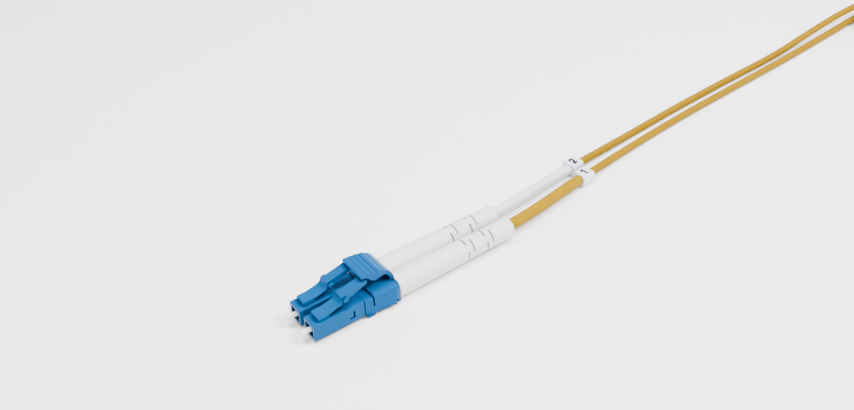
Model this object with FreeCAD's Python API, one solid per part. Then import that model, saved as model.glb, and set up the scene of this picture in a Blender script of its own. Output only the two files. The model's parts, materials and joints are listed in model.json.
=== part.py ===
"""Duplex LC fibre connector on a two-leg patch cord tail, in millimetres.

Frame: the origin lies midway between the two ferrule axes, in the plane of the housings' front faces.
+Y points back along the cords (the plug goes into its adapter towards -Y), +X is the side of leg 1,
+Z is up, the side of the latches.  Each simplex half is drawn on the Y axis and moved out by half the pitch.
"""

import FreeCAD, Part
import math
import os

V = FreeCAD.Vector
UP = V(0, 0, 1)
BACK = V(0, 1, 0)
ACROSS = V(1, 0, 0)

# Driving dimensions -------------------------------------------------------------------------------
PITCH = 6.25                 # between the two ferrule axes
SIDES = {1: PITCH / 2, 2: -PITCH / 2}
FIT = 0.03                   # radial play of parts that fit into each other
PRESS = 0.005                # the same where one is pressed into the other

PLUG = 4.5                   # outer width and height of the front housing
PLUG_LENGTH = 13.2
PLUG_CORNER = 0.3            # rounding of the housing's and the rear body's long edges
RIM = 0.12                   # chamfer round the front face
MOUTH = 3.25                 # square opening round the ferrule
MOUTH_CORNER = 0.8
WEB_R = 1.0                  # hole for the ferrule in the web
MOUTH_DEPTH = 4.4
SEAT_END = 4.9               # back of the web that the ferrule flange rests on
CHAMBER_R = 1.55             # chamber of the flange
NOSE_START = 8.6             # from here the chamber is wide enough for the rear body's nose
NOSE_R = 1.85
WINDOW = (9.3, 10.65, 0.95)  # snap window in the housing's sides: start, end, half height
TOOTH_GAP = 0.4              # between the snap tooth and the window's back and bottom

FERRULE_R = 0.6245
FERRULE_TIP = -1.9
FERRULE_FREE_END = 4.35      # from here the ferrule tapers a little, for its press fit in the flange
FERRULE_END = 6.0
FERRULE_END_R = 0.58
FLANGE_STEM_R = 0.85
FLANGE_STEM_END = 8.9
FLANGE_BACK = 6.4            # back of the collar, where the spring presses
BUFFER_R = 0.45
FIBRE_START = 7.2

SPRING_R = 1.05
SPRING_WIRE_R = 0.15
SPRING_TURNS = 6
SPRING_SEAT = 13.0

BODY_WIDTH = 4.0             # rear body, behind the front housing
BODY_HEIGHT = 4.5
BODY_END = 22.4
NECK_R = 1.8                 # the cord is crimped on this neck
NECK_END = 28.0
NECK_GROOVES = 2             # they bite on the strength yarn under the crimp

LATCH_FRONT = 1.6
LATCH_WIDTH = 3.2            # root and arm
HINGE_Y = 4.6                # flexure between the latch root and its arm
HINGE_Z = 3.2
HINGE_R = 0.3
LATCH_TOP = HINGE_Z + HINGE_R
SHOULDER_FRONT = 8.15
SHOULDER_BACK = 9.6
SHOULDER_WIDTH = 4.2
LEVER_WIDTH = 2.5
LEVER_TIP = (15.2, 6.95)

CLIP_HALF_WIDTH = 5.9        # at the front of the roof; the walls widen towards the rear
CLIP_REAR_HALF_WIDTH = 6.4
CLIP_FRONT = 15.6
CLIP_END = 22.5
CLIP_TOP = 2.9
CLIP_BOTTOM = -2.2
CLIP_ROUND = 1.1             # rounding of the roof's long edges
FINGER_FRONT = 13.35         # fingers of the clip beside the rear bodies' front ends
FINGER_HALF_WIDTH = 5.5      # at their front ends
FOOT_BOTTOM = -2.97          # front hooks under the rear bodies
REAR_HOOK_Y = (19.2, 20.8)
REAR_HOOK_BOTTOM = -2.55
HOOK_REACH = 0.75            # how far a hook reaches in under the rear body

TRIGGER_Y = 22.05            # flexure between the clip and its trigger
TRIGGER_Z = 3.2
TRIGGER_R = 0.5
TRIGGER_FRONT = 13.8
TRIGGER_WIDTH = 8.1
TRIGGER_ROOT_WIDTH = 7.5
GRIP_STEPS = 4

CRIMP_R = 2.15
CRIMP_TAIL_R = 1.42          # drawn in behind the neck
CRIMP_END = 31.0
BOOT_FRONT = 22.6
BOOT_END = 57.0
BOOT_R = 3.0
SLOT_RINGS = (42.8, 44.5, 48.55, 50.3)
SLOT_WIDTH = 0.55
SLOT_ARC = 85.0
BOOT_TURN = {1: -27.0, 2: -59.0}    # each boot sits turned about its axis

CORD_R = 1.0
SLEEVE_R = 1.45
SLEEVE_START = 41.0
FLOOR = -BOOT_R              # the connector lies on its boots
CORD_Z = FLOOR + CORD_R

TAG_LENGTH = 4.0
TAG_WIDTH = 3.9
TAG_HEIGHT = 3.1

TAG_POINT = 2                # the point of each leg's route where its tag starts

HANK_PLACE = (0.8, 221.0)    # middle of the near folds
HANK_RUN = 40.0              # straight stretch between the folds
HANK_OUTER = 12.0            # from the middle line to the outermost and innermost runs
HANK_INNER = 6.0
HANK_HEIGHT = 4 * CORD_R     # each leg's hank has two layers
TIE = 0.4                    # thickness of the two ties round the hanks
TIE_WIDTH = 5.0
TIE_Y = {"near": 9.0, "far": HANK_RUN - 9.0}
FIBRE_TAIL = 8.0


# Helpers ------------------------------------------------------------------------------------------
def box(x, y, z):
    """A box between three (low, high) pairs."""
    return Part.makeBox(x[1] - x[0], y[1] - y[0], z[1] - z[0], V(x[0], y[0], z[0]))


def rod(radius, start, end):
    """A round rod on the Y axis."""
    return Part.makeCylinder(radius, end - start, V(0, start, 0), BACK)


def turned(*outline):
    """A solid turned about the Y axis from (y, radius) corners."""
    corners = [V(r, y, 0) for y, r in outline]
    return Part.Face(Part.makePolygon(corners + corners[:1])).revolve(V(0, 0, 0), BACK, 360)


def square_rod(size, start, end, corner):
    """A square rod on the Y axis with rounded corners."""
    half = size / 2
    rod_ = box((-half, half), (start, end), (-half, half))
    return rod_.makeFillet(corner, lines_along(rod_, BACK))


def lines_along(shape, direction, where=lambda middle: True):
    """Straight edges of a shape that run in a direction, kept where a test of their middle says so."""
    found = []
    for edge in shape.Edges:
        if not isinstance(edge.Curve, Part.Line):
            continue
        along = edge.tangentAt(edge.FirstParameter)
        if abs(abs(along.dot(direction)) - 1) < 1e-6 and where(edge.CenterOfMass):
            found.append(edge)
    return found


def outline_edges(*steps):
    """A closed chain of edges: each step is a point, or ("arc", middle point, end point)."""
    first = steps[0]
    edges = []
    at = first
    for step in steps[1:] + (first,):
        if step[0] == "arc":
            edges.append(Part.Arc(at, step[1], step[2]).toShape())
            at = step[2]
        elif (step - at).Length > 1e-6:
            edges.append(Part.LineSegment(at, step).toShape())
            at = step
    return edges


def plate(points, direction):
    """A flat outline, with arcs, made into a solid along a direction."""
    return Part.Face(Part.Wire(outline_edges(*points))).extrude(direction)


def side_plate(points, half_width):
    """A plate whose outline is given as (y, z) points, centred on x = 0."""
    def at(p):
        return ("arc", at(p[1]), at(p[2])) if p[0] == "arc" else V(-half_width, p[0], p[1])
    return plate([at(p) for p in points], V(2 * half_width, 0, 0))


def top_plate(points, low, high):
    """A plate whose outline is given as (x, y) points, between two heights."""
    def at(p):
        return ("arc", at(p[1]), at(p[2])) if p[0] == "arc" else V(p[0], p[1], low)
    return plate([at(p) for p in points], V(0, 0, high - low))


def mirrored_pair(shape):
    """The shape and its mirror image in the plane x = 0."""
    return [shape, shape.mirror(V(0, 0, 0), ACROSS)]


def both_sides(half_plan, low, high):
    """A top plate whose outline is given for x > 0, from front to back, and mirrored for x < 0."""
    last = half_plan[-1]
    last_point = last[2] if last[0] == "arc" else last
    half = top_plate([(0, half_plan[0][1])] + half_plan + [(0, last_point[1])], low, high)
    right, left = mirrored_pair(half)
    return right.fuse(left).removeSplitter()


def moved(shape, x):
    """A copy of the shape, moved sideways."""
    copy = shape.copy()
    copy.translate(V(x, 0, 0))
    return copy


def save(name, shape):
    """Write one node as a STEP file, after testing that it is made of sound solids."""
    if not shape.isValid() or not shape.Solids:
        raise ValueError(name + " is not a sound solid")
    shape.exportStep("parts/" + name + ".step")
    print(f"{name:20s} {shape.Volume:10.3f} mm3  {len(shape.Solids)} solid(s)  {len(shape.Faces)} faces")


# Simplex half: housing, latch, ferrule, spring, rear body ------------------------------------------
def front_housing():
    """Square plug housing with the ferrule mouth, flange chamber, snap windows and latch root."""
    shell = square_rod(PLUG, 0, PLUG_LENGTH, PLUG_CORNER)
    rim = [edge for edge in shell.Edges if edge.BoundBox.YMax < 1e-6]
    shell = shell.makeChamfer(RIM, rim)
    root = box((-LATCH_WIDTH / 2, LATCH_WIDTH / 2), (LATCH_FRONT, HINGE_Y), (0.4 * PLUG, LATCH_TOP))
    root = root.makeFillet(0.2, lines_along(root, BACK, lambda m: m.z > PLUG / 2)
                           + lines_along(root, ACROSS, lambda m: m.z > PLUG / 2 and m.y < HINGE_Y - 0.1)
                           + lines_along(root, UP, lambda m: m.y < HINGE_Y - 0.1))
    shell = shell.fuse(root)
    hollows = [
        square_rod(MOUTH, -1, MOUTH_DEPTH, MOUTH_CORNER),
        rod(WEB_R, 0, SEAT_END + 0.5),
        rod(CHAMBER_R, SEAT_END, NOSE_START),
        rod(NOSE_R, NOSE_START, PLUG_LENGTH + 1),
        box((-PLUG, PLUG), WINDOW[:2], (-WINDOW[2], WINDOW[2])),
        Part.makeCylinder(HINGE_R + FIT, PLUG, V(-PLUG / 2, HINGE_Y, HINGE_Z), ACROSS),
    ]
    for hollow in hollows:
        shell = shell.cut(hollow)
    return shell.removeSplitter()


def latch_arm():
    """Latch arm: it climbs to the locking shoulders and runs on as a narrower lever to its tip."""
    tip_y, tip_z = LEVER_TIP
    front, back = SHOULDER_FRONT, SHOULDER_BACK
    profile = side_plate([
        (HINGE_Y, HINGE_Z - HINGE_R),
        ("arc", (HINGE_Y - HINGE_R, HINGE_Z), (HINGE_Y, LATCH_TOP)),
        ("arc", (6.25, 3.78), (front - 0.5, 4.3)),
        ("arc", (front - 0.22, 4.7), (front, 5.42)),
        ("arc", (front + 0.05, 5.52), (front + 0.15, 5.56)),
        (tip_y - 0.5, tip_z - 0.03),
        ("arc", (tip_y - 0.12, tip_z - 0.1), (tip_y, tip_z - 0.4)),
        (tip_y - 0.15, tip_z - 0.8),
        (tip_y - 0.4, tip_z - 0.92),
        (back + 0.5, 4.3),
        (back, 4.05),
        ("arc", (7.0, 3.66), (HINGE_Y, HINGE_Z - HINGE_R)),
    ], SHOULDER_WIDTH / 2)
    arm, lever = LATCH_WIDTH / 2, LEVER_WIDTH / 2
    plan = both_sides([
        (arm, HINGE_Y - 1),
        (arm, front - 0.3),
        ("arc", (arm - 0.05, front), (lever, front + 0.2)),
        (lever, tip_y - 0.6),
        ("arc", (lever - 0.12, tip_y - 0.12), (lever - 0.5, tip_y + 0.05)),
    ], 0, 9)
    wings = side_plate([
        (front + 0.1, 4.6),
        (front + 0.15, 4.85),
        ("arc", (front + 0.2, 4.95), (front + 0.35, 5.0)),
        (back - 0.3, 5.3),
        ("arc", (back - 0.08, 5.25), (back, 5.05)),
        (back, 4.75),
        (back - 0.4, 4.65),
    ], SHOULDER_WIDTH / 2)
    return profile.common(plan).fuse(wings).removeSplitter()


def ferrule():
    """Ceramic ferrule with a chamfered tip."""
    return turned((FERRULE_TIP, 0), (FERRULE_TIP, FERRULE_R - 0.14), (FERRULE_TIP + 0.2, FERRULE_R),
                  (FERRULE_FREE_END, FERRULE_R), (FERRULE_END, FERRULE_END_R), (FERRULE_END, 0))


def ferrule_flange():
    """Flange that holds the ferrule: six-sided collar with a lead-in cone, and a stem for the buffer."""
    collar_r = CHAMBER_R - 0.07
    corners = [V(collar_r * math.cos(a), SEAT_END + 0.02, collar_r * math.sin(a))
               for a in (math.radians(60 * n) for n in range(6))]
    hexagon = Part.Face(Part.makePolygon(corners + corners[:1]))
    collar = hexagon.extrude(V(0, FLANGE_BACK - SEAT_END - 0.02, 0))
    cone = turned((SEAT_END, 0), (SEAT_END, 1.1), (FLANGE_BACK, 1.1 + FLANGE_BACK - SEAT_END),
                  (FLANGE_BACK, 0))
    flange = collar.common(cone).fuse(rod(FLANGE_STEM_R, FLANGE_BACK, FLANGE_STEM_END))
    seat = turned((0, 0), (0, FERRULE_R + PRESS), (FERRULE_FREE_END, FERRULE_R + PRESS),
                  (FERRULE_END + PRESS, FERRULE_END_R + PRESS), (FERRULE_END + PRESS, 0))
    flange = flange.cut(seat)
    return flange.cut(rod(BUFFER_R + FIT, FERRULE_END - 0.1, FLANGE_STEM_END + 1)).removeSplitter()


def spring():
    """Compression spring between the flange collar and the rear body."""
    free = SPRING_SEAT - FLANGE_BACK - 2 * SPRING_WIRE_R - 2 * FIT
    helix = Part.makeHelix(free / SPRING_TURNS, free, SPRING_R)
    corners = [V(SPRING_R + SPRING_WIRE_R * math.cos(a), 0, SPRING_WIRE_R * math.sin(a))
               for a in (math.radians(60 * n) for n in range(6))]
    coil = Part.Wire(helix).makePipeShell([Part.makePolygon(corners + corners[:1])], True, True)
    coil.rotate(V(0, 0, 0), ACROSS, -90)
    coil.translate(V(0, FLANGE_BACK + SPRING_WIRE_R + FIT, 0))
    return coil


def rear_body():
    """Rear body: nose with snap teeth, block that the clip holds, and the neck for the crimp."""
    half = BODY_WIDTH / 2
    block = box((-half, half), (PLUG_LENGTH + 0.05, BODY_END), (-BODY_HEIGHT / 2, BODY_HEIGHT / 2))
    block = block.makeFillet(PLUG_CORNER, lines_along(block, BACK))
    nose = rod(NOSE_R - FIT, NOSE_START + 0.1, PLUG_LENGTH + 1)
    window_front, window_back, half_height = WINDOW
    tooth = box((0, PLUG / 2 - 0.02), (window_front + 0.02, window_back - TOOTH_GAP),
                (TOOTH_GAP - half_height, half_height - 0.02))
    neck = rod(NECK_R, BODY_END - 1, NECK_END)
    for n in range(NECK_GROOVES):
        at = BODY_END + 2.0 + 1.6 * n
        neck = neck.cut(rod(NECK_R + 1, at, at + 0.5).cut(rod(NECK_R - 0.12, at - 1, at + 2)))
    body = block.multiFuse([nose, neck] + mirrored_pair(tooth))
    body = body.cut(rod(SPRING_R + SPRING_WIRE_R + 0.15, 0, SPRING_SEAT))
    return body.cut(rod(BUFFER_R + 0.15, 0, NECK_END + 1)).removeSplitter()


def crimp_sleeve():
    """Metal crimp sleeve over the neck, drawn in behind it to hold the cord's jacket."""
    front = BODY_END + 1.2
    outer = turned((front, 0), (front, CRIMP_R), (NECK_END, CRIMP_R), (NECK_END + 0.5, CRIMP_TAIL_R),
                   (CRIMP_END, CRIMP_TAIL_R), (CRIMP_END, 0))
    outer = outer.cut(rod(NECK_R + FIT, 0, NECK_END + 0.05))
    return outer.cut(rod(CORD_R + FIT, 0, CRIMP_END + 1))


def boot():
    """Tapered strain-relief boot with staggered slots that let its rear end bend."""
    outer = turned((BOOT_FRONT, 0), (BOOT_FRONT, BOOT_R - 0.3), (BOOT_FRONT + 0.3, BOOT_R), (29, BOOT_R),
                   (35.5, 2.9), (BOOT_END - 0.6, 2.58), (BOOT_END, 2.42), (BOOT_END, 0))
    bore = turned((0, 0), (0, CRIMP_R + FIT), (NECK_END, CRIMP_R + FIT), (NECK_END + 0.7, SLEEVE_R + FIT),
                  (BOOT_END - 5, SLEEVE_R + FIT), (BOOT_END + 0.1, SLEEVE_R + 0.18), (BOOT_END + 0.1, 0))
    shell = outer.cut(bore)
    for n, ring in enumerate(SLOT_RINGS):
        for k in range(3):
            first = 120 * k + 60 * (n % 2)
            slot = slot_cutter(ring, first, SLOT_ARC)
            shell = shell.cut(slot)
    return shell


def slot_cutter(y, first_degrees, arc):
    """A thin ring sector about the Y axis that cuts one slot through the boot's wall."""
    low, high = y - SLOT_WIDTH / 2, y + SLOT_WIDTH / 2
    inner, outer = 0.9 * SLEEVE_R, BOOT_R + 1
    corners = [V(inner, low, 0), V(outer, low, 0), V(outer, high, 0), V(inner, high, 0)]
    face = Part.Face(Part.makePolygon(corners + corners[:1]))
    face.rotate(V(0, 0, 0), BACK, first_degrees)
    return face.revolve(V(0, 0, 0), BACK, arc)


# Duplex clip and trigger ---------------------------------------------------------------------------
def duplex_clip():
    """One-piece clip over both rear bodies: roof, side walls that widen to the rear, fingers and hooks."""
    wide, rear, finger_wide = CLIP_HALF_WIDTH, CLIP_REAR_HALF_WIDTH, FINGER_HALF_WIDTH
    inner = SIDES[1] + BODY_WIDTH / 2 + FIT
    block = both_sides([(wide, CLIP_FRONT), (rear, CLIP_END - CLIP_ROUND), (rear - 0.25, CLIP_END)],
                       CLIP_BOTTOM, CLIP_TOP)
    roof_edges = [e for e in block.Edges
                  if e.BoundBox.ZMin > CLIP_TOP - 0.01 and abs(e.CenterOfMass.x) > wide / 2]
    block = block.makeFillet(CLIP_ROUND, roof_edges)
    finger = top_plate([(inner, FINGER_FRONT), (finger_wide, FINGER_FRONT), (wide, CLIP_FRONT),
                        (wide, CLIP_FRONT + 0.3), (inner, CLIP_FRONT + 0.3)], CLIP_BOTTOM, PLUG / 2 + 0.05)
    finger_top = [e for e in finger.Edges if e.BoundBox.ZMin > PLUG / 2 and e.CenterOfMass.x > finger_wide]
    finger = finger.makeChamfer(0.15, finger_top[:1])
    foot = box((inner - HOOK_REACH, finger_wide + 0.3), (FINGER_FRONT + 0.25, CLIP_FRONT + 0.05),
               (FOOT_BOTTOM, CLIP_BOTTOM + 0.1))
    foot_tip = lines_along(foot, ACROSS, lambda m: m.z < CLIP_BOTTOM and m.y < CLIP_FRONT - 1)
    foot = foot.makeChamfer(0.25, foot_tip)
    rear_hook = box((inner - HOOK_REACH, wide), REAR_HOOK_Y, (REAR_HOOK_BOTTOM, CLIP_BOTTOM + 0.1))
    centre_foot = box((-1.6, 1.6), (CLIP_FRONT + 0.4, REAR_HOOK_Y[1]), (REAR_HOOK_BOTTOM, CLIP_BOTTOM + 0.1))
    saddle_half = TRIGGER_ROOT_WIDTH / 2 + 0.25
    saddle = box((-saddle_half, saddle_half), (TRIGGER_Y - 1.0, CLIP_END), (CLIP_TOP - 0.3, CLIP_TOP + 0.2))
    block = block.multiFuse(mirrored_pair(finger) + mirrored_pair(foot) + mirrored_pair(rear_hook)
                            + [centre_foot, saddle])
    half = BODY_WIDTH / 2 + FIT
    half_height = BODY_HEIGHT / 2 + FIT
    length = (FINGER_FRONT - 1, CLIP_END + 1)
    cuts = [box((x - half, x + half), length, (-half_height, half_height)) for x in SIDES.values()]
    slit = box((wide - 2, wide + 1), (CLIP_FRONT - 0.25, CLIP_FRONT + 0.1), (-0.1, PLUG))
    notch = box((rear - 2, rear + 1), (21.2, 21.6), (CLIP_BOTTOM - 1, -1.1))
    cuts += mirrored_pair(slit) + mirrored_pair(notch)
    cuts.append(box((-0.2, 0.2), (CLIP_FRONT - 1, CLIP_END + 1), (2 * CLIP_BOTTOM, 1.4)))
    cuts.append(Part.makeCylinder(TRIGGER_R + FIT, 2 * rear, V(-rear, TRIGGER_Y, TRIGGER_Z), ACROSS))
    for cut in cuts:
        block = block.cut(cut)
    return block.removeSplitter()


def trigger():
    """Trigger that rises from the clip and reaches forward over both lever tips, ribbed for grip."""
    front, r = TRIGGER_FRONT, TRIGGER_R
    crest = front + 5.6
    steps = []
    for n in range(GRIP_STEPS):
        start = front + 0.3 + 1.3 * n
        height = 8.12 - 0.05 * n - 0.045 * n * n
        steps += [(start, height - 0.12), (start + 0.15, height), (start + 1.0, height - 0.1)]
    profile = side_plate([
        (front + 0.35, 7.42),
        ("arc", (front, 7.6), (front + 0.1, 7.95)),
    ] + steps + [
        (crest, 7.2),
        ("arc", (21.45, 5.8), (TRIGGER_Y + r, TRIGGER_Z)),
        ("arc", (TRIGGER_Y, TRIGGER_Z - r), (TRIGGER_Y - r, TRIGGER_Z)),
        ("arc", (21.1, 4.65), (20.4, 5.4)),
        ("arc", (19.2, 5.6), (18.0, 5.42)),
        ("arc", (16.6, 5.8), (15.8, 6.75)),
        ("arc", (15.2, 7.2), (front + 0.35, 7.42)),
    ], TRIGGER_WIDTH / 2)
    wide, root = TRIGGER_WIDTH / 2, TRIGGER_ROOT_WIDTH / 2
    plan = both_sides([
        (wide - 0.3, front),
        ("arc", (wide - 0.08, front + 0.1), (wide, front + 0.35)),
        (wide, 17.5),
        ("arc", (wide - 0.1, 18.9), (root, 20.3)),
        (root, 24),
    ], 0, 12)
    return profile.common(plan)


# Cords ----------------------------------------------------------------------------------------------
ROUTES = {
    1: [(3.125, 48, 0), (3.125, 60, 0), (-1.45, 84.5, -1.1), (-4.6, 107, CORD_Z), (-6.4, 129, CORD_Z),
        (-7.4, 152, CORD_Z), (-8.3, 176, CORD_Z), (-9.8, 199, CORD_Z + 0.1), (-11.2, 221, CORD_Z + TIE)],
    2: [(-3.125, 48, 0), (-3.125, 60, 0), (-6.8, 85.5, -1.1), (-8.9, 109, CORD_Z), (-10.4, 131, CORD_Z),
        (-11.3, 154, CORD_Z), (-11.6, 175, CORD_Z + 0.1), (-11.5, 192, CORD_Z + 2.6),
        (-11.3, 207, CORD_Z + TIE + HANK_HEIGHT), (-11.2, 221, CORD_Z + TIE + HANK_HEIGHT)],
}
TAILS = {
    1: [(12.8, 221, CORD_Z + TIE + 2 * CORD_R), (12.8, 214, CORD_Z + 1.2), (12.6, 207, CORD_Z),
        (12.2, 201, CORD_Z)],
    2: [(12.8, 221, CORD_Z + TIE + HANK_HEIGHT + 2 * CORD_R), (12.2, 214.5, CORD_Z + 5.2),
        (10.8, 208.5, CORD_Z + 2.3), (9.9, 203, CORD_Z + 0.2), (9.7, 198.5, CORD_Z)],
}


def smooth_path(points, name, lead=0.0):
    """Straight runs joined by tangent arcs as large as the runs allow; lead extends the path backwards."""
    points = [V(*p) for p in points]
    edges = []
    radii = []
    at = points[0] + (points[0] - points[1]).normalize() * lead
    for before, corner, after in zip(points, points[1:], points[2:]):
        arriving = (corner - before)
        leaving = (after - corner)
        half_turn = arriving.getAngle(leaving) / 2
        tangent = 0.45 * min(arriving.Length, leaving.Length)
        radius = tangent / math.tan(half_turn)
        radii.append(radius)
        arriving.normalize()
        leaving.normalize()
        start = corner - arriving * tangent
        end = corner + leaving * tangent
        inward = (leaving - arriving).normalize()
        middle = corner + inward * (radius / math.cos(half_turn) - radius)
        edges.append(Part.LineSegment(at, start).toShape())
        edges.append(Part.Arc(start, middle, end).toShape())
        at = end
    edges.append(Part.LineSegment(at, points[-1]).toShape())
    print(name, "radii", [round(r) for r in radii], "length", round(sum(e.Length for e in edges), 1))
    return Part.Wire(edges)


def tube(path, radius):
    """A round solid swept along a smooth path."""
    first = path.Edges[0]
    start = first.valueAt(first.FirstParameter)
    direction = first.tangentAt(first.FirstParameter)
    section = Part.Wire(Part.Circle(start, direction, radius).toShape())
    return path.makePipeShell([section], True, False)


def tag_place(side):
    """Where a leg's number tag starts, turned to the cord's direction there."""
    start, after = (V(*p) for p in ROUTES[side][TAG_POINT:TAG_POINT + 2])
    return FreeCAD.Placement(start, FreeCAD.Rotation(BACK, after - start))


def colour_sleeve(side):
    """Tube over one cord leg, from inside the boot to the number tag."""
    route = ROUTES[side]
    path = smooth_path(route[:TAG_POINT + 2], f"sleeve {side}", route[0][1] - SLEEVE_START)
    beyond_tag = box((-20, 20), (0, 40), (-20, 20))
    beyond_tag.Placement = tag_place(side)
    return tube(path, SLEEVE_R).cut(tube(path, CORD_R + 0.05)).cut(beyond_tag)


def number_tag(side):
    """Small clip-on tag at the end of the sleeve, with a flat top for a number."""
    half_w, half_h = TAG_WIDTH / 2, TAG_HEIGHT / 2
    body = box((-half_w, half_w), (FIT, TAG_LENGTH), (-half_h, half_h))
    body = body.makeFillet(0.7, lines_along(body, BACK))
    body = body.cut(rod(CORD_R + 0.2, -1, TAG_LENGTH + 1))
    body.Placement = tag_place(side)
    return body


def long_loop(half_width, near, far, low, high):
    """A plate with round ends about two centres on the hank's middle line, between two heights."""
    return top_plate([(-half_width, near), ("arc", (0, near - half_width), (half_width, near)),
                      (half_width, far), ("arc", (0, far + half_width), (-half_width, far))], low, high)


def hank(side):
    """Outer shape of one leg's neat hank; leg 2 is wound on top of leg 1."""
    low = FLOOR + TIE + (side - 1) * HANK_HEIGHT
    high = low + HANK_HEIGHT
    outside = long_loop(HANK_OUTER + CORD_R, 2 * CORD_R, HANK_RUN - CORD_R, low, high)
    ring = outside.cut(long_loop(HANK_INNER - CORD_R, 0, HANK_RUN, low - 1, high + 1))
    rims = [e for e in ring.Edges if e.BoundBox.ZLength < 1e-6]
    ring = ring.makeChamfer(0.6 * CORD_R, rims)
    ring.translate(V(*HANK_PLACE, 0))
    return ring


def hank_tie(y):
    """Band round both hanks, across their runs."""
    top = FLOOR + TIE + 2 * HANK_HEIGHT
    half = HANK_OUTER + CORD_R
    band = box((-half - TIE, half + TIE), (y - TIE_WIDTH / 2, y + TIE_WIDTH / 2), (FLOOR, top + TIE))
    band = band.makeFillet(0.8, lines_along(band, BACK))
    hollow = box((-half - FIT, half + FIT), (y - TIE_WIDTH, y + TIE_WIDTH), (FLOOR + TIE - FIT, top + FIT))
    band = band.cut(hollow.makeFillet(0.3, lines_along(hollow, BACK)))
    band.translate(V(*HANK_PLACE, 0))
    return band


def tail(side):
    """The last of a leg's jacket, which leaves the hank and lies down before it."""
    return tube(smooth_path(TAILS[side], f"tail {side}"), CORD_R)


def fibre_tail(side):
    """Stripped end: the tight-buffered fibre beyond the jacket."""
    before, end = (V(*p) for p in TAILS[side][-2:])
    along = (end - before).normalize()
    return Part.makeCylinder(BUFFER_R, FIBRE_TAIL, end, along)


def cord_leg(side):
    """Free part of one cord leg, from inside its boot to the hank."""
    return tube(smooth_path(ROUTES[side], f"leg {side}"), CORD_R)


# Nodes ----------------------------------------------------------------------------------------------
os.makedirs("parts", exist_ok=True)

HALF = {
    "front_housing": front_housing(),
    "latch_arm": latch_arm(),
    "ferrule": ferrule(),
    "ferrule_flange": ferrule_flange(),
    "spring": spring(),
    "rear_body": rear_body(),
    "crimp_sleeve": crimp_sleeve(),
    "fibre": rod(BUFFER_R, FIBRE_START, CRIMP_END - 2),
    "inner_cord": rod(CORD_R, CRIMP_END - 2, ROUTES[1][0][1]),
}
BOOT = boot()

for side, x in SIDES.items():
    for name, shape in HALF.items():
        save(f"{name}_{side}", moved(shape, x))
    turned_boot = BOOT.copy()
    turned_boot.rotate(V(0, 0, 0), BACK, BOOT_TURN[side])
    save(f"boot_{side}", moved(turned_boot, x))
    save(f"colour_sleeve_{side}", colour_sleeve(side))
    save(f"number_tag_{side}", number_tag(side))
    save(f"cord_leg_{side}", cord_leg(side))
    save(f"cord_hank_{side}", hank(side))
    save(f"cord_tail_{side}", tail(side))
    save(f"fibre_tail_{side}", fibre_tail(side))

save("duplex_clip", duplex_clip())
save("trigger", trigger())
for place, y in TIE_Y.items():
    save(f"hank_tie_{place}", hank_tie(y))
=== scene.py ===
"""Looks of the duplex LC fibre connector: materials, cords, ties, springs, numbers, light and camera."""
import json
import math

import bmesh
import bpy
from mathutils import Matrix, Vector


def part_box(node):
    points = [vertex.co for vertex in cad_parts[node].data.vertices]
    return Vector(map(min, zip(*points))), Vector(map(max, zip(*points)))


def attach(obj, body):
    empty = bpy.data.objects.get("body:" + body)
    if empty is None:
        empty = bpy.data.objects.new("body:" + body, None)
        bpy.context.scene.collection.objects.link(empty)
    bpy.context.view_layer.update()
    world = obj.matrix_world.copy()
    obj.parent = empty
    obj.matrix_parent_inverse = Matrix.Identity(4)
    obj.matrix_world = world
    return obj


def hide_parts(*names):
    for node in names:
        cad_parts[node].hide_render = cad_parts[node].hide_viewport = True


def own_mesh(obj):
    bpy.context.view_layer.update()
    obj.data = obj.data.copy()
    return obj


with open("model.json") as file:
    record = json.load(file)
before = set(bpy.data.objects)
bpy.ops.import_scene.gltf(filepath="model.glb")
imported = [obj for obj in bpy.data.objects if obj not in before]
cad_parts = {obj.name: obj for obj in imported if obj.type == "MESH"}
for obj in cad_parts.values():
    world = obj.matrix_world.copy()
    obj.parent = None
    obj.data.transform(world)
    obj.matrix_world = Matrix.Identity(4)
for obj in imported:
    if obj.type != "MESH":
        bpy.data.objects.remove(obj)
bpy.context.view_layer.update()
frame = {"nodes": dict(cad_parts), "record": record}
nodes = frame["nodes"]
MM = 0.001

# Values shared with the part's source, in millimetres ------------------------------------------------
SIDES = {1: 3.125, 2: -3.125}
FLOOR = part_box("boot_1")[0].z / MM
CORD_R = 1.0
CORD_Z = FLOOR + CORD_R
SLEEVE_R = 1.45
SLEEVE_START = 41.0
TAG_POINT = 2                # the tag starts at this point of its leg's route
TAG_LENGTH = 4.0
TAG_HEIGHT = 3.1
TIE = 0.4                    # the room that a tie takes under and over the hanks
TIE_WIDTH = 5.0
HANK_PLACE = (0.8, 221.0)
HANK_RUN = 40.0
HANK_OUTER = 12.0            # the outermost and the innermost run's distance from the hank's middle line
HANK_INNER = 6.0
HANK_HEIGHT = 4 * CORD_R
TIE_Y = {"near": 9.0, "far": HANK_RUN - 9.0}
SPRING_R = 1.05
SPRING_WIRE_R = 0.15
ROUTES = {
    1: [(3.125, 48, 0), (3.125, 60, 0), (-1.45, 84.5, -1.1), (-4.6, 107, CORD_Z), (-6.4, 129, CORD_Z),
        (-7.4, 152, CORD_Z), (-8.3, 176, CORD_Z), (-9.8, 199, CORD_Z + 0.1), (-11.2, 221, CORD_Z + TIE)],
    2: [(-3.125, 48, 0), (-3.125, 60, 0), (-6.8, 85.5, -1.1), (-8.9, 109, CORD_Z), (-10.4, 131, CORD_Z),
        (-11.3, 154, CORD_Z), (-11.6, 175, CORD_Z + 0.1), (-11.5, 192, CORD_Z + 2.6),
        (-11.3, 207, CORD_Z + TIE + HANK_HEIGHT), (-11.2, 221, CORD_Z + TIE + HANK_HEIGHT)],
}
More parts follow.
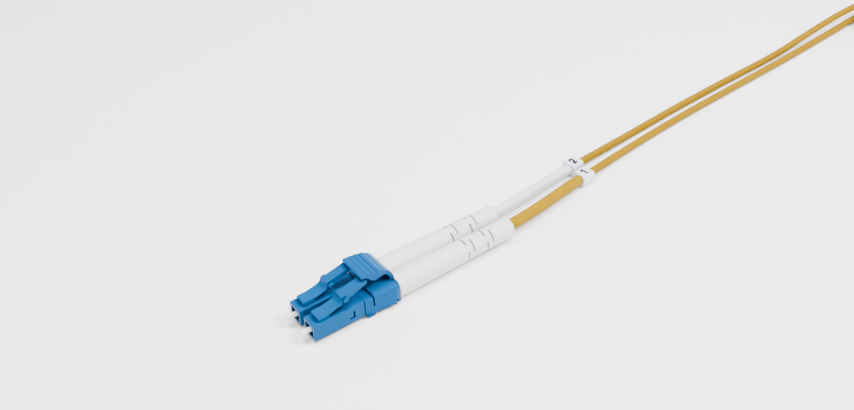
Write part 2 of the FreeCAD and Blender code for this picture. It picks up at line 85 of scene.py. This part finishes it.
TAILS = {
    1: [(12.8, 221, CORD_Z + TIE + 2 * CORD_R), (12.8, 214, CORD_Z + 1.2), (12.6, 207, CORD_Z),
        (12.2, 201, CORD_Z)],
    2: [(12.8, 221, CORD_Z + TIE + HANK_HEIGHT + 2 * CORD_R), (12.2, 214.5, CORD_Z + 5.2),
        (10.8, 208.5, CORD_Z + 2.3), (9.9, 203, CORD_Z + 0.2), (9.7, 198.5, CORD_Z)],
}

# Values of the looks alone, in millimetres ------------------------------------------------------------
GAP_REACH = 2.5              # how far off a surface still darkens another, in the painted shade of gaps
GAP_SHUT, GAP_OPEN = 0.25, 0.80   # shares of open view at which a gap's painted shade is darkest, and at which it ends
POINTS_A_FOLD = 12
POINTS_A_RUN = 4
CORD_ROUNDNESS = 6
SLEEVE_IN_TAG = 0.01
SLEEVE_LIP = 0.3             # the sleeve narrows over this length at its end, by this share of its radius
SLEEVE_LIP_SHARE = 0.10
TIE_THICKNESS = 0.9 * TIE
TIE_SIDES = 16
TIE_EDGE, TIE_FACE = 0.25, 0.6    # exponents of the strip's section: the lower, the more square
TIE_BEND = 0.8
POINTS_A_BEND = 5
TIE_START = -7.0
TIE_END = 5.0
TIE_CLIMB = [(-3.0, 0.0), (-1.2, 0.6), (0.0, 1.0)]   # from TIE_START on, with the share of TIE climbed
SPRING_TURNS = 8             # the source's six live turns, and a closed one at each end
SPRING_SIDES = 12
POINTS_A_TURN = 24
PRINT_THICKNESS = 0.012
PRINT_LIFT = 0.01
ONE = [(0.55, -1.2), (0.55, 1.2), (0.02, 1.2), (-0.72, 0.68), (-0.50, 0.16), (-0.12, 0.40), (-0.12, -1.2)]
TWO_SIZE, TWO_WEIGHT = 3.1, 0.21
FLOOR_GAP = 0.05


# Materials ------------------------------------------------------------------------------------------
def painted_gap_shade(tree, colour, depth):
    """Painted shade: a colour that falls to depth times itself in gaps and inner corners, where shade falls
    on a moulding.
    """
    openness = tree.nodes.new("ShaderNodeAmbientOcclusion")
    openness.samples = 6
    openness.inputs["Distance"].default_value = GAP_REACH * MM
    shade = tree.nodes.new("ShaderNodeMapRange")
    shade.inputs["From Min"].default_value = GAP_SHUT
    shade.inputs["From Max"].default_value = GAP_OPEN
    shade.inputs["To Min"].default_value = depth
    tree.links.new(openness.outputs["AO"], shade.inputs["Value"])
    deep = tree.nodes.new("ShaderNodeMix")
    deep.data_type = "RGBA"
    deep.blend_type = "MULTIPLY"
    deep.inputs["Factor"].default_value = 1.0
    tree.links.new(colour, deep.inputs["A"])
    tree.links.new(shade.outputs["Result"], deep.inputs["B"])
    return deep.outputs["Result"]


def surface(name, colour, other, roughness, spread, grain, bump, edge=0.0, depth=1.0, **fixed):
    """A moulded surface: two close colours and a band of roughness mixed by noise, with a fine bump.

    grain is the size of the noise's features and edge the radius that sharp edges are shaded with, in mm.
    spread is how far the roughness varies, and depth is the share of the colour that is left in gaps, as
    painted shade.
    fixed holds values that are the same all over.
    """
    made = bpy.data.materials.new(name)
    made.use_nodes = True
    tree = made.node_tree
    shader = tree.nodes["Principled BSDF"]
    for socket, value in fixed.items():
        shader.inputs[socket.replace("_", " ")].default_value = value
    coords = tree.nodes.new("ShaderNodeTexCoord")

    def noise(size, detail):
        made_noise = tree.nodes.new("ShaderNodeTexNoise")
        made_noise.inputs["Scale"].default_value = 1 / (size * MM)
        made_noise.inputs["Detail"].default_value = detail
        tree.links.new(coords.outputs["Object"], made_noise.inputs["Vector"])
        return made_noise.outputs["Fac"]

    broad = noise(6 * grain, 3)
    fine = noise(grain, 4)
    tint = tree.nodes.new("ShaderNodeMix")
    tint.data_type = "RGBA"
    tint.inputs["A"].default_value = (*colour, 1)
    tint.inputs["B"].default_value = (*other, 1)
    tree.links.new(broad, tint.inputs["Factor"])
    mixed = tint.outputs["Result"]
    # Where depth is below 1, painted shade darkens the colour in gaps and inner corners.
    tree.links.new(mixed if depth == 1 else painted_gap_shade(tree, mixed, depth), shader.inputs["Base Color"])
    gloss = tree.nodes.new("ShaderNodeMapRange")
    gloss.inputs["To Min"].default_value = roughness - spread
    gloss.inputs["To Max"].default_value = roughness + spread
    tree.links.new(fine, gloss.inputs["Value"])
    tree.links.new(gloss.outputs["Result"], shader.inputs["Roughness"])
    relief = tree.nodes.new("ShaderNodeBump")
    relief.inputs["Strength"].default_value = bump
    relief.inputs["Distance"].default_value = 0.05 * MM
    tree.links.new(fine, relief.inputs["Height"])
    if edge:
        rounded = tree.nodes.new("ShaderNodeBevel")
        rounded.samples = 6
        rounded.inputs["Radius"].default_value = edge * MM
        tree.links.new(rounded.outputs["Normal"], relief.inputs["Normal"])
    tree.links.new(relief.outputs["Normal"], shader.inputs["Normal"])
    return made


MATERIALS = {
    # blue_plastic has painted shade in its gaps: depth 0.10 leaves a tenth of its colour there.
    "blue_plastic": surface("blue_plastic", (0.0, 0.060, 0.182), (0.0, 0.069, 0.206), 0.24, 0.05, 0.5, 0.12,
                            edge=0.10, depth=0.10, Specular_IOR_Level=0.10,
                            Specular_Tint=(0.05, 0.45, 1.0, 1.0)),
    "zirconia": surface("zirconia", (0.80, 0.80, 0.78), (0.86, 0.86, 0.85), 0.16, 0.03, 0.3, 0.03,
                        Subsurface_Weight=0.15, Subsurface_Scale=0.0004),
    "nickel": surface("nickel", (0.62, 0.58, 0.50), (0.70, 0.66, 0.58), 0.30, 0.08, 0.2, 0.2, Metallic=1.0),
    "spring_steel": surface("spring_steel", (0.5, 0.5, 0.5), (0.58, 0.58, 0.57), 0.28, 0.06, 0.2, 0.1,
                            Metallic=1.0),
    "white_boot": surface("white_boot", (0.62, 0.62, 0.615), (0.67, 0.67, 0.66), 0.45, 0.05, 0.6, 0.15,
                          edge=0.08, Subsurface_Weight=0.1, Subsurface_Scale=0.0006),
    "yellow_sleeve": surface("yellow_sleeve", (0.235, 0.138, 0.0), (0.26, 0.152, 0.0), 0.55, 0.05, 0.8, 0.15,
                             Specular_IOR_Level=0.06, Specular_Tint=(1.0, 0.6, 0.0, 1.0)),
    "white_sleeve": surface("white_sleeve", (0.60, 0.60, 0.62), (0.65, 0.65, 0.67), 0.36, 0.05, 0.8, 0.15),
    "yellow_jacket": surface("yellow_jacket", (0.215, 0.115, 0.0), (0.24, 0.129, 0.0), 0.55, 0.05, 0.6, 0.25,
                             Specular_IOR_Level=0.06, Specular_Tint=(1.0, 0.55, 0.0, 1.0)),
    "tag_plastic": surface("tag_plastic", (0.62, 0.66, 0.74), (0.66, 0.70, 0.78), 0.32, 0.05, 0.7, 0.1,
                           edge=0.12, Subsurface_Weight=0.1, Subsurface_Scale=0.0006),
    "white_buffer": surface("white_buffer", (0.78, 0.78, 0.76), (0.83, 0.83, 0.81), 0.4, 0.05, 0.4, 0.1),
    "tie_fabric": surface("tie_fabric", (0.018, 0.018, 0.02), (0.03, 0.03, 0.032), 0.8, 0.1, 0.25, 1.0),
}
INK = surface("tag_ink", (0.010, 0.011, 0.014), (0.016, 0.018, 0.022), 0.6, 0.05, 0.3, 0.1,
              Specular_IOR_Level=0.2)


def dress(piece, slot):
    """Give a piece the material of a slot of the record."""
    piece.data.materials.clear()
    piece.data.materials.append(MATERIALS[slot])


for entry in frame["record"]["subparts"]:
    node = nodes[entry["node"]]
    node.data.polygons.foreach_set("use_smooth", [True] * len(node.data.polygons))
    node.data.materials.clear()
    node.data.materials.append(MATERIALS[entry["material_slot"]])


# Cords ----------------------------------------------------------------------------------------------
def hank_points(side):
    """The folds of one leg's hank: inward along its lower layer, then outward along the one on top.

    Each far fold brings the cord in or out by one diameter. A near fold keeps the cord as far from the middle
    line as it was, and the innermost one lifts it on to the upper layer.
    """
    steps = round((HANK_OUTER - HANK_INNER) / (2 * CORD_R))
    rows = [HANK_OUTER - 2 * CORD_R * n for n in range(steps + 1)]
    left = rows[:-1] + rows[:0:-1]
    right = rows[1:] + rows[-2::-1]
    low = CORD_Z + TIE + (side - 1) * HANK_HEIGHT
    points = []

    def run(x, start, end, z):
        for n in range(1, POINTS_A_RUN):
            points.append((x, start + (end - start) * n / POINTS_A_RUN, z))

    def fold(x, radius, y, sign, z, rise=0.0):
        for n in range(POINTS_A_FOLD + 1):
            part = n / POINTS_A_FOLD
            across = sign * radius * math.cos(math.pi * part)
            along = sign * radius * math.sin(math.pi * part)
            points.append((x - across, y + along, z + rise * part))

    for n, (at_left, at_right) in enumerate(zip(left, right)):
        z = low if n < steps else low + 2 * CORD_R
        run(-at_left, 0, HANK_RUN, z)
        fold((at_right - at_left) / 2, (at_left + at_right) / 2, HANK_RUN, 1, z)
        run(at_right, HANK_RUN, 0, z)
        if n + 1 < len(left):
            fold(0, at_right, 0, -1, z, 2 * CORD_R if n + 1 == steps else 0)
    return [(HANK_PLACE[0] + x, HANK_PLACE[1] + y, z) for x, y, z in points]


def line(name, points):
    """A smooth NURBS line through the middle of a cord, from points in millimetres."""
    data = bpy.data.curves.new(name, "CURVE")
    data.dimensions = "3D"
    spline = data.splines.new("NURBS")
    spline.points.add(len(points) - 1)
    for place, point in zip(spline.points, points):
        place.co = (*(Vector(point) * MM), 1)
    spline.order_u = 3
    spline.use_endpoint_u = True
    spline.resolution_u = CORD_ROUNDNESS
    made = bpy.data.objects.new(name, data)
    bpy.context.scene.collection.objects.link(made)
    return made


def followed(curve):
    """The points of a line that has no thickness yet, in millimetres."""
    bpy.context.view_layer.update()
    mesh = bpy.data.meshes.new_from_object(curve)
    return [vertex.co / MM for vertex in mesh.vertices]


def length(points):
    """Length of a chain of points."""
    return sum((b - a).length for a, b in zip(points, points[1:]))


def skin(name, rings):
    """A closed smooth mesh through rings of points, in millimetres, with flat ends."""
    mesh = bmesh.new()
    rows = [[mesh.verts.new(place * MM) for place in ring] for ring in rings]
    sides = len(rows[0])
    for first, second in zip(rows, rows[1:]):
        for k in range(sides):
            mesh.faces.new((first[k], first[(k + 1) % sides], second[(k + 1) % sides], second[k]))
    mesh.faces.new(rows[0])
    mesh.faces.new(list(reversed(rows[-1])))
    bmesh.ops.recalc_face_normals(mesh, faces=mesh.faces)
    data = bpy.data.meshes.new(name)
    mesh.to_mesh(data)
    mesh.free()
    data.polygons.foreach_set("use_smooth", [True] * len(data.polygons))
    made = bpy.data.objects.new(name, data)
    bpy.context.scene.collection.objects.link(made)
    return made


def headings(path):
    """Each point of a path with its direction there."""
    for n, place in enumerate(path):
        yield place, (path[min(n + 1, len(path) - 1)] - path[max(n - 1, 0)]).normalized()


def sweep(name, path, radius_at, sides=32, upright=(0, 0, 1)):
    """A closed round tube along a path, in millimetres; radius_at gives its radius by length from the start.

    No stretch of the path may run along upright.
    """
    rings = []
    run = 0.0
    before = path[0]
    for place, along in headings(path):
        run += (place - before).length
        before = place
        turn = Vector(upright).cross(along).normalized()
        up = along.cross(turn)
        angles = [2 * math.pi * k / sides for k in range(sides)]
        rings.append([place + (turn * math.cos(a) + up * math.sin(a)) * radius_at(run) for a in angles])
    return skin(name, rings)


def tag_axes(side):
    """Start of a leg's tag and its direction along the cord."""
    start, after = (Vector(p) for p in ROUTES[side][TAG_POINT:TAG_POINT + 2])
    return start, (after - start).normalized()


def leg(side):
    """One leg cord with its hank and tail, as one line, and the sleeve that follows it."""
    cord = line(f"leg_jacket_{side}", ROUTES[side] + hank_points(side) + TAILS[side])
    path = followed(cord)
    cord.data.bevel_depth = CORD_R * MM
    cord.data.bevel_resolution = CORD_ROUNDNESS
    cord.data.use_fill_caps = True
    dress(cord, "yellow_jacket")
    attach(cord, "connector")
    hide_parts(f"cord_leg_{side}", f"cord_hank_{side}", f"cord_tail_{side}")

    start, along = tag_axes(side)
    covered = [Vector((SIDES[side], SLEEVE_START, 0))]
    covered += [place for place in path if (place - start).dot(along) < 0]
    covered.append(start + along * SLEEVE_IN_TAG)
    whole = length(covered)

    def radius(run):
        return SLEEVE_R * (1 - SLEEVE_LIP_SHARE * max(0, 1 - (whole - run) / SLEEVE_LIP) ** 2)

    sleeve = sweep(f"leg_sleeve_{side}", covered, radius)
    dress(sleeve, "yellow_sleeve" if side == 1 else "white_sleeve")
    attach(sleeve, "connector")
    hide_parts(f"colour_sleeve_{side}")


def tie_path():
    """The middle of a tie's strip in x and z: once round both hanks, then up on to its own start."""
    half = HANK_OUTER + CORD_R + TIE / 2
    low = FLOOR + TIE / 2
    high = FLOOR + TIE + 2 * HANK_HEIGHT + TIE / 2
    bends = [(half - TIE_BEND, high - TIE_BEND, 90), (half - TIE_BEND, low + TIE_BEND, 0),
             (TIE_BEND - half, low + TIE_BEND, -90), (TIE_BEND - half, high - TIE_BEND, -180)]
    path = [(TIE_START, high)]
    for x, z, first in bends:
        for n in range(POINTS_A_BEND + 1):
            angle = math.radians(first - 90 * n / POINTS_A_BEND)
            path.append((x + TIE_BEND * math.cos(angle), z + TIE_BEND * math.sin(angle)))
    path += [(TIE_START + past, high + share * TIE) for past, share in TIE_CLIMB]
    path.append((TIE_END, high + TIE))
    return path


def hank_tie(place, y):
    """A strip of hook and loop tape with soft long edges, wound round both hanks and pressed on to itself."""
    path = [Vector((HANK_PLACE[0] + x, HANK_PLACE[1] + y, z)) for x, z in tie_path()]
    rings = []
    for middle, along in headings(path):
        out = along.cross(Vector((0, 1, 0)))
        ring = []
        for k in range(TIE_SIDES):
            angle = 2 * math.pi * k / TIE_SIDES
            across = math.copysign(abs(math.cos(angle)) ** TIE_EDGE, math.cos(angle)) * TIE_WIDTH / 2
            through = math.copysign(abs(math.sin(angle)) ** TIE_FACE, math.sin(angle)) * TIE_THICKNESS / 2
            ring.append(middle + Vector((0, across, 0)) + out * through)
        rings.append(ring)
    made = skin(f"tie_{place}", rings)
    dress(made, "tie_fabric")
    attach(made, "connector")
    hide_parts(f"hank_tie_{place}")
    return made


ties = [hank_tie(place, y) for place, y in TIE_Y.items()]
for side in SIDES:
    leg(side)


# Springs --------------------------------------------------------------------------------------------
def coil_spring(side):
    """The ferrule's compression spring with closed end coils, in place of the part's spring."""
    low, high = (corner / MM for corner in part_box(f"spring_{side}"))
    front, back = low.y + SPRING_WIRE_R, high.y - SPRING_WIRE_R
    dead = 2 * SPRING_WIRE_R
    path = []
    for n in range(SPRING_TURNS * POINTS_A_TURN + 1):
        turns = n / POINTS_A_TURN
        live = min(max(turns - 1, 0), SPRING_TURNS - 2) / (SPRING_TURNS - 2)
        closed = dead * (min(turns, 1) + max(turns - SPRING_TURNS + 1, 0))
        angle = 2 * math.pi * turns
        path.append(Vector((SIDES[side] + SPRING_R * math.cos(angle),
                            front + closed + (back - front - 2 * dead) * live, SPRING_R * math.sin(angle))))
    made = sweep(f"coil_spring_{side}", path, lambda run: SPRING_WIRE_R, sides=SPRING_SIDES,
                 upright=(0, 1, 0))
    dress(made, "spring_steel")
    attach(made, "connector")
    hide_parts(f"spring_{side}")
    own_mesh(made)


for side in SIDES:
    coil_spring(side)


# Numbers on the tags ----------------------------------------------------------------------------------
def figure_one(name):
    """A bold 1 as a filled outline, with its middle at the origin."""
    data = bpy.data.curves.new(name, "CURVE")
    data.dimensions = "2D"
    data.fill_mode = "BOTH"
    outline = data.splines.new("POLY")
    outline.points.add(len(ONE) - 1)
    for place, (x, y) in zip(outline.points, ONE):
        place.co = (x * MM, y * MM, 0, 1)
    outline.use_cyclic_u = True
    return data


def figure_two(name):
    """A bold 2, set as type."""
    data = bpy.data.curves.new(name, "FONT")
    data.body = "2"
    data.align_x = "CENTER"
    data.align_y = "CENTER"
    data.size = TWO_SIZE * MM
    data.offset = TWO_WEIGHT * MM
    return data


def number(side):
    """The tag's plain number, printed on its flat top and read from the leg's outer side."""
    start, along = tag_axes(side)
    across = along.cross(Vector((0, 0, 1))).normalized()
    normal = across.cross(along)
    data = {1: figure_one, 2: figure_two}[side](f"tag_number_{side}")
    data.extrude = PRINT_THICKNESS * MM
    made = bpy.data.objects.new(data.name, data)
    bpy.context.scene.collection.objects.link(made)
    place = start + along * TAG_LENGTH / 2 + normal * (TAG_HEIGHT / 2 + PRINT_LIFT)
    turn = Matrix((along, -across, normal)).transposed()
    made.matrix_world = Matrix.Translation(place * MM) @ turn.to_4x4()
    made.data.materials.append(INK)
    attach(made, "connector")


for side in SIDES:
    number(side)


# Stage, light and camera ------------------------------------------------------------------------------
def stage():
    """A plain pale floor that the part lies on."""
    mesh = bpy.data.meshes.new("floor")
    reach = 3.0
    z = (FLOOR - FLOOR_GAP) * MM
    mesh.from_pydata([(-reach, -reach, z), (reach, -reach, z), (reach, reach, z), (-reach, reach, z)], [],
                     [(0, 1, 2, 3)])
    floor = bpy.data.objects.new("floor", mesh)
    bpy.context.scene.collection.objects.link(floor)
    floor.data.materials.append(surface("floor", (0.92, 0.92, 0.92), (0.93, 0.93, 0.93), 0.7, 0.05, 4, 0.02))


def lamp(name, place, size, power, aim=(0, 0.06, 0)):
    """A soft square lamp that shines from one point towards another, in metres."""
    data = bpy.data.lights.new(name, "AREA")
    data.size = size
    data.energy = power
    made = bpy.data.objects.new(name, data)
    made.location = place
    made.rotation_euler = (Vector(aim) - Vector(place)).to_track_quat("-Z", "Y").to_euler()
    bpy.context.scene.collection.objects.link(made)


def light():
    """Soft studio light: a white surround, a large lamp overhead and a smaller one behind the near side."""
    world = bpy.data.worlds.new("studio")
    bpy.context.scene.world = world
    world.use_nodes = True
    world.node_tree.nodes["Background"].inputs["Color"].default_value = (1, 1, 1, 1)
    world.node_tree.nodes["Background"].inputs["Strength"].default_value = 1.4
    lamp("overhead", place=(0.0, 0.02, 0.5), size=0.26, power=5.0)
    lamp("near", place=(0.24, 0.32, 0.46), size=0.12, power=6.0)


def camera():
    """The viewing angle: azimuth and elevation of the line of sight, with a small roll."""
    azimuth, elevation, roll = math.radians(56.163), math.radians(38.083), -0.0555
    place = Vector((150.0, -65.3, 157.2)) * MM
    back = Vector((math.sin(azimuth) * math.cos(elevation), -math.cos(azimuth) * math.cos(elevation),
                   math.sin(elevation)))
    right = Vector((math.cos(azimuth), math.sin(azimuth), 0))
    up = back.cross(right)
    turned_right = right * math.cos(roll) + up * math.sin(roll)
    turned_up = up * math.cos(roll) - right * math.sin(roll)
    data = bpy.data.cameras.new("camera")
    data.sensor_width = 36
    data.lens = 42.155
    data.clip_start, data.clip_end = 0.01, 10
    made = bpy.data.objects.new("camera", data)
    turned = Matrix((turned_right, turned_up, back)).transposed()
    made.matrix_world = Matrix.Translation(place) @ turned.to_4x4()
    bpy.context.scene.collection.objects.link(made)
    bpy.context.scene.camera = made


stage()
light()
camera()

bpy.context.view_layer.update()
